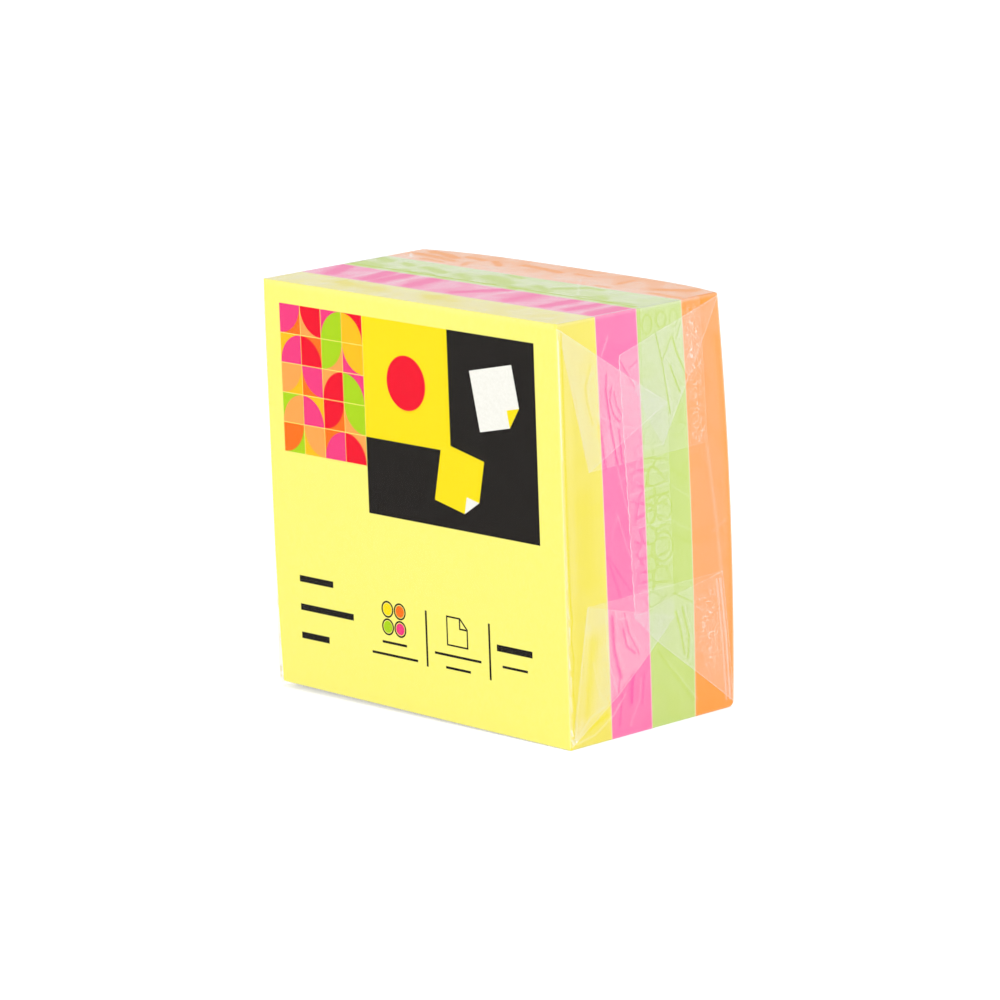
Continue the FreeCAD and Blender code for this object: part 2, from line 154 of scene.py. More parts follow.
# %% Floor
FLOOR_SIZE = 12          # m
FLOOR_GLOW = 0.4         # what brings the seen floor up to white, apart from the shadow on it
bm = bmesh.new()
bmesh.ops.create_grid(bm, x_segments=1, y_segments=1, size=FLOOR_SIZE / 2)
floor_mesh = bpy.data.meshes.new("floor")
bm.to_mesh(floor_mesh)
bm.free()
floor = bpy.data.objects.new("floor", floor_mesh)
scene.collection.objects.link(floor)

material, tree, output = new_material("white_floor")
plain = add(tree, "ShaderNodeBsdfDiffuse", {"Color": linear("#E6E6E6")})
bright = add(tree, "ShaderNodeBsdfDiffuse", {"Color": (1, 1, 1, 1)})
glow = add(tree, "ShaderNodeEmission", {"Color": (1, 1, 1, 1), "Strength": FLOOR_GLOW})
bright = add(tree, "ShaderNodeAddShader", {0: bright.outputs[0], 1: glow.outputs[0]})
whole = add(tree, "ShaderNodeMixShader", {0: ray_is_looking(tree), 1: plain.outputs[0], 2: bright.outputs[0]})
tree.links.new(whole.outputs[0], output.inputs[0])
floor_mesh.materials.append(material)

# %% Lamps
BLOCK_CENTRE = Vector((0, 0, 0.038))
SOFTBOXES = {                      # place in m, side in m, watts
    "softbox_front": ((-0.5, -1.55, 0.62), 1.1, 12.0),
    "softbox_right": ((1.6, 0.1, 0.62), 1.0, 12.5),
}
for name, (place, side, watts) in SOFTBOXES.items():
    lamp = bpy.data.lights.new(name, "AREA")
    lamp.size = side
    lamp.energy = watts
    box = bpy.data.objects.new(name, lamp)
    box.location = place
    box.rotation_mode = "QUATERNION"
    box.rotation_quaternion = (BLOCK_CENTRE - Vector(place)).to_track_quat("-Z", "Y")
    scene.collection.objects.link(box)
print("lamps:", list(SOFTBOXES))

# %% [markdown]
# ## Paper
# Sticky notes are uncoated wood-free paper dyed in the pulp, so the colour goes right through and
# the cut edges of a pad show the same colour as its face. A guillotined stack isn't smooth: each
# sheet ends a hair in front of or behind its neighbours, which draws fine lines along the stack.
# The real sheets are 0.1 mm thick, which is finer than a pixel here, so the lines are drawn at
# about 0.35 mm. Each point of the mesh knows how deep in the stack it lies, and noise that changes
# fast with that depth, and slowly along X and Z, draws the lines on the top and both ends at once.

# %% Paper
def mark(tree, name, output="Fac"):
    """The value that the mesh carries under this name."""
    return add(tree, "ShaderNodeAttribute", attribute_name=name, attribute_type="GEOMETRY").outputs[output]


def dyed_paper(name, colour, shade, line_depth=0.035):
    """Uncoated dyed paper in a guillotined stack: matt, in two tones of one colour, with fine lines.

    The mesh carries two numbers in millimetres: sheet, how deep in the stack a point lies, and
    to_next, how far it is from the next pad. Near the next pad the colour is painted paler, a
    painted highlight on the edge at the gap between pads.
    """
    material, tree, output = new_material(name)
    stack = add(tree, "ShaderNodeCombineXYZ", {"Y": mark(tree, "sheet")}).outputs[0]
    drift = object_scaled(tree, (0.02, 0, 0.02))
    fine = add(tree, "ShaderNodeVectorMath", {0: stack, 1: (0, 2.8, 0), 2: drift}, operation="MULTIPLY_ADD")
    broad = add(tree, "ShaderNodeVectorMath", {0: stack, 1: (0, 0.12, 0), 2: drift}, operation="MULTIPLY_ADD")
    sheet_lines = add(tree, "ShaderNodeTexNoise", {"Vector": fine.outputs[0], "Scale": 1, "Detail": 2,
                                                   "Roughness": 0.7})
    batches = add(tree, "ShaderNodeTexNoise", {"Vector": broad.outputs[0], "Scale": 1, "Detail": 1})
    fibres = add(tree, "ShaderNodeTexNoise",
                 {"Vector": object_scaled(tree, (3, 3, 3)), "Scale": 1, "Detail": 2})
    mixed = add(tree, "ShaderNodeMath", {0: sheet_lines.outputs[0], 1: batches.outputs[0]}, operation="ADD")
    tone = add(tree, "ShaderNodeMapRange", {"Value": mixed.outputs[0], "From Min": 0.7, "From Max": 1.3})
    tint = add(tree, "ShaderNodeMix", {0: tone.outputs[0], 6: linear(shade), 7: linear(colour)},
               data_type="RGBA").outputs[2]
    # Painted highlight: within 0.3 mm of the next pad the colour turns towards pale cream, for the light
    # caught on the edge at the gap between pads.
    painted_edge_highlight = add(tree, "ShaderNodeMapRange", {"Value": mark(tree, "to_next"), "From Min": 0.1, "From Max": 0.3,
                                           "To Min": 0.6, "To Max": 0.0})
    tint = add(tree, "ShaderNodeMix", {0: painted_edge_highlight.outputs[0], 6: tint, 7: linear("#F6EED6")},
               data_type="RGBA").outputs[2]
    height = add(tree, "ShaderNodeMath", {0: sheet_lines.outputs[0], 1: 0.25, 2: fibres.outputs[0]},
                 operation="MULTIPLY_ADD")
    relief = add(tree, "ShaderNodeBump", {"Height": height.outputs[0], "Distance": line_depth * MM,
                                          "Strength": 0.5})
    paper = add(tree, "ShaderNodeBsdfPrincipled",
                {"Base Color": tint, "Roughness": 0.78, "IOR": 1.45, "Specular IOR Level": 0.25,
                 "Normal": relief.outputs[0]})
    tree.links.new(paper.outputs[0], output.inputs[0])
    return material


PAPERS = {                # colour and its darker tone
    "yellow": dyed_paper("yellow_dyed_paper", "#F5E83C", "#F0E134"),
    "pink": dyed_paper("pink_dyed_paper", "#FF66AE", "#FD61A9"),
    "green": dyed_paper("green_dyed_paper", "#C9DF6A", "#C4DB63"),
    "orange": dyed_paper("orange_dyed_paper", "#FFA647", "#FFA040"),
}
print("papers:", list(PAPERS))

# %% [markdown]
# ## Front sheet and inks
# The front sheet is a slightly smoother paper, printed in flat fields of offset ink. Ink soaks in
# a little, so it is matt and just uneven, with a fine mottle of about half a millimetre.

# %% Front sheet and inks
def printed_paper(name, colour, shade, roughness, gloss):
    """Paper or ink with a faint mottle, as flat and even as a printed sheet."""
    material, tree, output = new_material(name)
    mottle = add(tree, "ShaderNodeTexNoise",
                 {"Vector": object_scaled(tree, (1.6, 1.6, 1.6)), "Scale": 1, "Detail": 3})
    tone = add(tree, "ShaderNodeMapRange", {"Value": mottle.outputs[0], "From Min": 0.3, "From Max": 0.7})
    tint = add(tree, "ShaderNodeMix", {0: tone.outputs[0], 6: linear(shade), 7: linear(colour)},
               data_type="RGBA")
    relief = add(tree, "ShaderNodeBump",
                 {"Height": mottle.outputs[0], "Distance": 0.01 * MM, "Strength": 0.4})
    paper = add(tree, "ShaderNodeBsdfPrincipled",
                {"Base Color": tint.outputs[2], "Roughness": roughness, "IOR": 1.45,
                 "Specular IOR Level": gloss, "Normal": relief.outputs[0]})
    tree.links.new(paper.outputs[0], output.inputs[0])
    return material


front_sheet_paper = printed_paper("front_sheet_paper", "#FFF982", "#FFF776", 0.6, 0.2)
INKS = {
    "lime": ("#B4DC1E", "#AAD618"), "amber": ("#FFC820", "#FABE18"), "orange": ("#FF7A20", "#F87018"),
    "peach": ("#FFAE58", "#FAA550"), "pink": ("#FB4488", "#F43C7E"), "red": ("#FA1030", "#F00C2A"),
    "bright": ("#FFE718", "#FCE210"), "white": ("#FBFAF2", "#F4F3EA"), "black": ("#16120F", "#1B1714"),
}
for ink, (colour, shade) in INKS.items():
    ink_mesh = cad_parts[f"print_{ink}"].data
    ink_mesh.materials.clear()
    ink_mesh.materials.append(printed_paper(f"{ink}_offset_ink", colour, shade, 0.5, 0.06))
print("inks:", list(INKS))

# %% [markdown]
# ## Clear film
# The wrap is oriented polypropylene film, 0.02 to 0.03 mm thick, folded and heat sealed. It has no
# colour: all that shows is the white studio mirrored in its two faces, a little face on and a lot
# at a grazing angle. Six marks on the mesh change that from place to place:
#
# - cling: the film touches the paper and its inner mirror is lost, so the colour looks deeper;
# - wet: both mirrors are lost, in the dark strokes of a wrinkle pressed flat;
# - haze: creased or stretched film has turned white;
# - whiteness: film that creasing or stretching has turned white, and painted highlights and glints along
#   folds, edges and wrinkles, drawn as more mirror of the white studio;
# - crinkle: small bubbles whose rims carry a painted highlight, drawn as the contour lines of a noise;
# - sealed: the heat seal has welded two layers in cells of about 3 mm, with a painted highlight
#   along each wall and a dark line inside it, which is what the edges of a Voronoi pattern look like.

# %% Film material
def flat_noise(tree, cycles_per_mm, detail):
    """Noise laid on the film while it was still flat, by the place that each point had there."""
    scaled = add(tree, "ShaderNodeMapping", {"Vector": mark(tree, "flat_place", "Vector"),
                                             "Scale": (*cycles_per_mm, 1)}).outputs[0]
    return add(tree, "ShaderNodeTexNoise", {"Vector": scaled, "Scale": 1, "Detail": detail},
               noise_dimensions="2D").outputs[0]


def ramp(tree, value, low, high, at_low, at_high):
    """A straight ramp from one value to another, held level outside it."""
    return add(tree, "ShaderNodeMapRange", {"Value": value, "From Min": low, "From Max": high,
                                            "To Min": at_low, "To Max": at_high}).outputs[0]


def maths(tree, operation, *values, clamp=False):
    """One sum: the operation on up to three values."""
    node = add(tree, "ShaderNodeMath", dict(enumerate(values)), operation=operation, use_clamp=clamp)
    return node.outputs[0]


MIRROR_HEAD_ON = 0.056   # share of light that one face of the film mirrors when seen head on
CELLS_PER_MM = (0.27, 0.40)
BUBBLES_PER_MM = (1.5, 1.15)


def clear_film(name, welded):
    """Oriented polypropylene: clear, mirroring more at a grazing angle, less where it clings.

    The film on the ends is welded, which adds sealed cells and bubbles to it.
    """
    material, tree, output = new_material(name)
    inner = add(tree, "ShaderNodeNewGeometry").outputs["Backfacing"]
    outer = maths(tree, "SUBTRACT", 1.0, inner)
    patchy = ramp(tree, flat_noise(tree, (0.22, 0.22), 0), 0.42, 0.68, -0.3, 0.3)
    touch = maths(tree, "ADD", mark(tree, "cling"), patchy, clamp=True)
    kept = maths(tree, "SUBTRACT", 1.0, maths(tree, "MULTIPLY", touch, inner))
    wet, white = mark(tree, "wet"), mark(tree, "haze")
    if welded:
        sealed = mark(tree, "sealed")
        cells = add(tree, "ShaderNodeMapping", {"Vector": mark(tree, "flat_place", "Vector"),
                                                "Scale": (*CELLS_PER_MM, 1)}).outputs[0]
        to_wall = add(tree, "ShaderNodeTexVoronoi", {"Vector": cells, "Scale": 1, "Randomness": 0.85},
                      feature="DISTANCE_TO_EDGE", voronoi_dimensions="2D").outputs["Distance"]
        # Painted highlight: the wall of each cell is whitened.
        wall = maths(tree, "MULTIPLY", ramp(tree, to_wall, 0.0, 0.04, 0.12, 0.0), sealed)
        groove = maths(tree, "MULTIPLY", ramp(tree, to_wall, 0.04, 0.11, 1.0, 0.0), sealed)
        bubbles = flat_noise(tree, BUBBLES_PER_MM, 1)
        to_rim = maths(tree, "ABSOLUTE", maths(tree, "SUBTRACT", bubbles, 0.5))
        # Painted highlight on the rims of the bubbles.
        bubble_rim_highlights = ramp(tree, to_rim, 0.01, 0.04, 0.65, 0.0)
        bubble_rim_highlights = maths(tree, "MULTIPLY", bubble_rim_highlights, mark(tree, "crinkle"))
        wet = maths(tree, "MAXIMUM", wet, groove)
        white = maths(tree, "MAXIMUM", maths(tree, "MAXIMUM", white, wall), bubble_rim_highlights)
    kept = maths(tree, "MULTIPLY", kept, maths(tree, "SUBTRACT", 1.0, wet, clamp=True))
    slant = add(tree, "ShaderNodeLayerWeight", {"Blend": 0.5}).outputs["Facing"]
    mirror = maths(tree, "MULTIPLY_ADD", maths(tree, "POWER", slant, 5.0),
                   1 - MIRROR_HEAD_ON, MIRROR_HEAD_ON)
    share = maths(tree, "MULTIPLY", mirror, maths(tree, "MULTIPLY", kept, mark(tree, "sheen")))
    # The whiteness, both whitened film and painted highlights and glints, is added to the outer face's share
    # of mirror.
    share = maths(tree, "MULTIPLY_ADD", white, outer, share, clamp=True)
    shine_inputs = {"Color": (1, 1, 1, 1), "Roughness": 0.1}
    if not welded:                             # the welded film has its relief in the mesh
        ripple = flat_noise(tree, (0.5, 0.5), 0)
        relief = add(tree, "ShaderNodeBump", {"Height": ripple, "Distance": 0.1 * MM})
        shine_inputs["Normal"] = relief.outputs[0]
    clear = add(tree, "ShaderNodeBsdfTransparent", {"Color": (1, 1, 1, 1)})
    shine = add(tree, "ShaderNodeBsdfGlossy", shine_inputs)
    film = add(tree, "ShaderNodeMixShader", {0: share, 1: clear.outputs[0], 2: shine.outputs[0]})
    tree.links.new(film.outputs[0], output.inputs[0])
    return material


MARKS = ("cling", "wet", "haze", "sheen", "crinkle", "sealed")
smooth_film = clear_film("oriented_polypropylene_film", welded=False)
welded_film = clear_film("welded_polypropylene_film", welded=True)

# %% [markdown]
# ## A sheet of film, drawn flat and then folded
# Each fold starts as a flat grid, is trimmed along the straight edges of its outline, and is then
# bent round the edge of the block by moving its points. The grid has closer lines near the bend
# and one beside each crease, so that a crease can be marked in a line a quarter of a millimetre
# wide. Cutting with a plane keeps the mesh clean: no edge needs to be typed in by hand.

# %% Flat grids
BEND_RADIUS = 0.15       # mm, how tightly the film turns round the edge of the block
CREASE_WIDTH = 0.17      # mm, from the middle of a whitened crease, partly a painted highlight, to clear film


def stations(low, high, step, bends=()):
    """Evenly spaced places from low to high, with four more each side of every bend."""
    places = set(np.linspace(low, high, max(2, round((high - low) / step) + 1)).round(4))
    for bend in bends:
        places |= {round(bend + i * BEND_RADIUS / 4, 4) for i in range(-4, 5)}
    return sorted(p for p in places if low <= p <= high)


def grid_of(stations_u, stations_v):
    """A bmesh grid in the XY plane whose lines lie at the given places, in millimetres."""
    sheet = bmesh.new()
    bmesh.ops.create_grid(sheet, x_segments=len(stations_u) - 1, y_segments=len(stations_v) - 1, size=0.5)
    for vert in sheet.verts:
        column = round((vert.co.x + 0.5) * (len(stations_u) - 1))
        row = round((vert.co.y + 0.5) * (len(stations_v) - 1))
        vert.co = (stations_u[column], stations_v[row], 0)
    return sheet


def cut(sheet, start, end, offset=0.0, keep_side=None):
    """Cut a flat sheet along a line moved sideways, and clear away what lies beyond keep_side."""
    start, end = Vector((*start, 0)), Vector((*end, 0))
    across = (end - start).cross(Vector((0, 0, 1))).normalized()
    if keep_side is not None and across.dot(Vector((*keep_side, 0)) - start) > 0:
        across.negate()
    bmesh.ops.bisect_plane(sheet, geom=sheet.verts[:] + sheet.edges[:] + sheet.faces[:],
                           plane_co=start + offset * across, plane_no=across,
                           clear_outer=keep_side is not None, dist=1e-6)


def sides(outline):
    """Each side of an outline as its start, its end and how white its crease is."""
    return [((p, q), outline[(i + 1) % len(outline)][:2], white) for i, (p, q, white) in enumerate(outline)]


def trim(sheet, outline):
    """Cut a flat sheet to a convex outline, with a line beside each side that has a white crease."""
    middle = [sum(corner[i] for corner in outline) / len(outline) for i in (0, 1)]
    for start, end, white in sides(outline):
        cut(sheet, start, end, keep_side=middle)
    for start, end, white in sides(outline):
        if white:
            inward = Vector((*middle, 0)) - Vector((*start, 0))
            across = (Vector((*end, 0)) - Vector((*start, 0))).cross(Vector((0, 0, 1)))
            cut(sheet, start, end, offset=CREASE_WIDTH if across.dot(inward) > 0 else -CREASE_WIDTH)


print("a bend takes", 2 * BEND_RADIUS, "mm of film")

# %% [markdown]
# ## Where the film lies
# The layers on the ends lie 0.02 mm apart, from the innermost tuck to the front flap. The back of
# the block isn't flat: it swells between its corners, most in the middle of the top and bottom
# edges, and the film follows it.

# %% Where the film lies
FILM_FRONT = -21.85      # mm
FILM_TOP, FILM_BOTTOM = 76.15, 0.02
FILM_END = 38.02         # innermost layer on the end
LAYER_STEP = 0.02        # from one layer to the next
FILM_THICKNESS = 0.012
BLOCK_BACK = 18.07       # film at the corners of the back
DEPTH_AT_CORNERS = BLOCK_BACK - FILM_FRONT
HALF_WIDTH = 38.0
SIDE_SWELL = 1.25        # how far the back's upright edges stand out halfway up
CREST_SWELL = 2.83       # how far the back's top and bottom edges stand out in the middle
MIDDLE_SWELL = 0.85      # what the middle of the back adds to that


def swell(x, z):
    """How far the back stands out beyond its corners, in mm."""
    level = 1 - np.clip(np.abs(z - HALF_WIDTH) / HALF_WIDTH, 0, 1) ** 2
    side = SIDE_SWELL * level
    middle = CREST_SWELL + MIDDLE_SWELL * level
    return side + (middle - side) * (1 - np.clip(np.abs(x) / HALF_WIDTH, 0, 1) ** 4)


def rounded(before, corner, after, share):
    """A point on a round bend from before to after, as numpy rows."""
    share = share[:, None]
    return (1 - share) ** 2 * before + 2 * share * (1 - share) * corner + share ** 2 * after


print("the back stands out", round(float(swell(0, 38)), 2), "mm in the middle")

# %% [markdown]
# ## The pads and the front sheet
# A stack of four hundred loose sheets is never a true box. The glued top edges and the pull of the
# film make the back bulge, the pads lean a little, and the corner that the block was set down on
# has slumped. Each pad starts as a plain box. It is subdivided, its front and back faces are moved
# to where that pad begins and ends, and the slump is added. The film is carried along by the same
# slump, so that it still fits.

# %% The pads and the front sheet
LEFT_LIFT = 1.1          # mm, how far the bottom edge rises towards the left
CORNER_TUCK = 0.9        # mm, how far the lower left corner has slumped inwards
BACK_SAG = 0.42          # mm, how far the top drops towards the back
FOOT_DEPTH = 1.3         # mm, how far the foot of the right end is pushed back
SHEETS_LOW, SHEETS_HIGH = 0.09, 76.09


def slumped(points):
    """Where points of the true block lie in the real one: numpy rows of x, y, z in mm."""
    x, y, z = points.T
    up, back, across = (np.clip(v, 0, 1) for v in (z / 76, (y + 21.85) / 39.9, (x + 38) / 76))
    tuck = CORNER_TUCK * np.clip(1 - z / 35, 0, 1) ** 2 * np.clip(-x / 38, 0, 1)
    lift = LEFT_LIFT * (1 - across) * (1 - up) - BACK_SAG * back * up
    return np.stack([x + tuck, y + FOOT_DEPTH * back * (1 - up) * across ** 4, z + lift], axis=1)


def box_of_sheets(name, front, back, depth, cuts, round_foot=0.0):
    """A stack of sheets whose front and back faces are given by functions of x and z, in mm."""
    low, high = SHEETS_LOW, SHEETS_HIGH
    block = bmesh.new()
    sheet_mark = block.verts.layers.float.new("sheet")
    next_mark = block.verts.layers.float.new("to_next")
    bmesh.ops.create_cube(block, size=1)
    bmesh.ops.scale(block, vec=(2 * HALF_WIDTH, depth, high - low), verts=block.verts)
    bmesh.ops.translate(block, vec=(0, depth / 2, (low + high) / 2), verts=block.verts)
    if round_foot:
        foot = [edge for edge in block.edges
                if all(vert.co.y > depth - 0.01 and vert.co.z < low + 0.01 for vert in edge.verts)]
        bmesh.ops.bevel(block, geom=foot, offset=round_foot, segments=5, profile=0.5, affect="EDGES",
                        material=-1)
    long_edges = [edge for edge in block.edges if edge.calc_length() > 20]
    bmesh.ops.subdivide_edges(block, edges=long_edges, cuts=cuts, use_grid_fill=True)
    places = []
    for vert in block.verts:
        share = vert.co.y / depth
        near, far = front(vert.co.x, vert.co.z), back(vert.co.x, vert.co.z)
        vert[sheet_mark] = vert.co.y
        vert[next_mark] = (1 - share) * depth
        places.append((vert.co.x, near + share * (far - near), vert.co.z))
    for vert, place in zip(block.verts, slumped(np.array(places, float))):
        vert.co = Vector(place) * MM
    for face in block.faces:
        face.smooth = True
    mesh = bpy.data.meshes.new(name)
    block.to_mesh(mesh)
    block.free()
    mesh.set_sharp_from_angle(angle=math.radians(35))
    piece = bpy.data.objects.new(name, mesh)
    scene.collection.objects.link(piece)
    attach(piece, "root")
    print(name, len(mesh.polygons), "faces")
    return piece


def level_of(z):
    """1 halfway up the block and 0 at its top and bottom."""
    return 1 - (z / 38 - 1) ** 2


def yellow_front(x, z):
    return -21.62


def yellow_to_pink(x, z):
    return -12.45 + 0.7 * (1 - z / 76) + 0.25 * level_of(z)


def pink_to_green(x, z):
    return -2.3 + 0.3 * (1 - z / 76) + 0.35 * level_of(z)


def green_to_orange(x, z):
    return 8.85 - 0.3 * (1 - z / 76) + 0.7 * level_of(z)


def orange_back(x, z):
    return BLOCK_BACK - 0.09 + float(swell(x, z))


STACKS = {                # CAD node, front, back, depth in mm, rounded foot
    "yellow_sheets": ("pad_yellow", yellow_front, yellow_to_pink, 9.7, 0),
    "pink_sheets": ("pad_pink", yellow_to_pink, pink_to_green, 10.1, 0),
    "green_sheets": ("pad_green", pink_to_green, green_to_orange, 10.7, 0),
    "orange_sheets": ("pad_orange", green_to_orange, orange_back, 9.1, 1.2),
}
for name, (node, front, back, depth, foot) in STACKS.items():
    stack = box_of_sheets(name, front, back, depth, cuts=25, round_foot=foot)
    colour = name.split("_")[0]
    stack.data.materials.append(PAPERS[colour])
    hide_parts(node)
front_sheet = box_of_sheets("front_sheet", lambda x, z: -21.72, lambda x, z: -21.62, 0.1, cuts=25)
front_sheet.data.materials.append(front_sheet_paper)
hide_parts("cover_sheet")

# %% [markdown]
# ## Strokes
# Wrinkles and the patches where the film clings are laid down as strokes: a width, a strength and
# a line through a few points. A stroke fades out over its width, and the strongest one wins.
# Places on the end are written as p, millimetres back from the front edge, and q, millimetres
# down from the top. Drawing them as numbers on the mesh, instead of as a picture, keeps them sharp
# at any distance.

# %% Strokes
def strokes_at(points, strokes):
    """The strongest stroke at each point: strokes are (width, strength, [places]) in mm."""
    value = np.zeros(len(points))
    for width, strength, places in strokes:
        for start, end in zip(places, places[1:]):
            start, along = np.array(start, float), np.array(end, float) - np.array(start, float)
            share = np.clip((points - start) @ along / max(along @ along, 1e-9), 0, 1)
            away = np.linalg.norm(points - start - share[:, None] * along, axis=1)
            value = np.maximum(value, strength * np.exp(-(away / width) ** 2 * 2))
    return value


def ring(p, q, half_p, half_q, corners=14):
    """A closed oval line."""
    turns = [2 * math.pi * i / corners for i in range(corners + 1)]
    return [(p + half_p * math.cos(t), q + half_q * math.sin(t)) for t in turns]


CLINGS = [                                     # deep-coloured wet strokes on the end, in every layer
    (0.3, 1.0, [(1.0, 2), (0.95, 40), (1.1, 50), (1.4, 53), (0.9, 56), (1.5, 60), (0.9, 64), (1.4, 69),
                (0.9, 74)]),
    (3.8, 0.5, [(5.4, 32), (5.6, 47)]), (4.2, 0.85, [(5.6, 58), (3.8, 70)]),
    (0.7, 0.9, [(9.6, 19.5), (10.6, 27)]),
    (0.35, 1.0, [(11.6, 10.5), (11.3, 13.5), (11.9, 17.5), (12.4, 21), (13.6, 27)]),
    (0.35, 0.9, [(14.2, 21), (14.8, 27)]), (0.3, 0.9, [(12.7, 13), (12.2, 15.5), (13, 18), (14.6, 19.6)]),
    (0.3, 0.7, [(13.3, 14), (13.8, 16.5), (15, 18.5)]),
    (0.5, 0.6, [(7.8, 8.5), (6.4, 12), (6.8, 15), (8, 19)]), (0.5, 0.5, [(10.3, 43.3), (13.3, 51)]),
    (0.4, 0.5, [(10.5, 43), (15.8, 50.3)]), (0.7, 0.9, [(11, 54), (11.2, 60), (12.6, 65.3)]),
    (0.4, 0.9, [(13.5, 56.8), (14.3, 60), (16.2, 61.6)]), (0.3, 0.8, [(14, 54), (14.8, 57.5), (17.3, 62)]),
    (0.4, 0.8, [(12.4, 65), (11.9, 67.8)]), (0.35, 0.9, [(20, 34.5), (21.5, 34.2), (26, 34)]),
    (0.3, 0.8, ring(24.4, 36.6, 2.0, 2.4)), (0.3, 0.8, ring(24, 43.6, 2.3, 2.7)),
    (0.3, 0.7, ring(21.2, 37.2, 1.1, 1.8)),
    (0.3, 0.9, [(17, 34.2), (18.3, 35), (17.4, 37.6), (19.5, 37.2)]),
    (0.3, 0.9, [(17.2, 41.6), (18.7, 42.3), (17.5, 44), (19, 46.2)]),
    (0.3, 1.0, [(24, 5), (25.5, 11), (26.3, 16), (26.9, 19.8)]),
    (0.28, 0.9, [(28, 6), (26.8, 8), (25.2, 10.6)]),
    (0.4, 1.0, [(28.2, 6.5), (29, 9.2), (30.6, 12.6), (31, 14.2)]),
    (0.35, 1.0, [(27.3, 11.3), (28.4, 14), (29.4, 16.4)]), (0.3, 0.8, [(30.2, 4), (28.9, 7)]),
    (0.3, 0.8, [(17.2, 10.3), (19.2, 9.4)]), (0.3, 0.8, [(15.3, 8.8), (17.2, 12), (18.4, 14)]),
    (0.5, 0.9, [(26.5, 56), (27.6, 60), (28.2, 64)]), (0.45, 0.9, [(28.1, 55.5), (29.4, 61), (29, 65)]),
    (0.3, 0.8, [(26.3, 52.6), (30.5, 55)]), (0.4, 0.4, [(27, 30), (31, 33)]),
    (0.4, 0.4, [(27, 42), (31, 44.5)]), (1.2, 0.6, [(38.8, 8), (39.6, 40), (39, 70)]),
    (0.35, 0.7, ring(22, 3.2, 1.2, 1.7)), (0.35, 0.7, ring(25.5, 2.8, 1.2, 1.4)),
    (0.35, 0.6, ring(28.6, 3.0, 1.0, 1.5)), (0.8, 1.0, [(15.6, 65.6), (15.2, 67.5), (15, 70.3)]),
    (0.5, 0.7, [(12.8, 68.6), (12, 74)]), (0.5, 0.6, [(18.3, 66), (17.6, 71)]),
    (0.8, 0.9, [(4.5, 73.2), (9, 71.5)]), (0.6, 0.5, [(22, 62.5), (27, 69)]),
    (0.6, 0.5, [(25, 66), (30, 73)]),
]
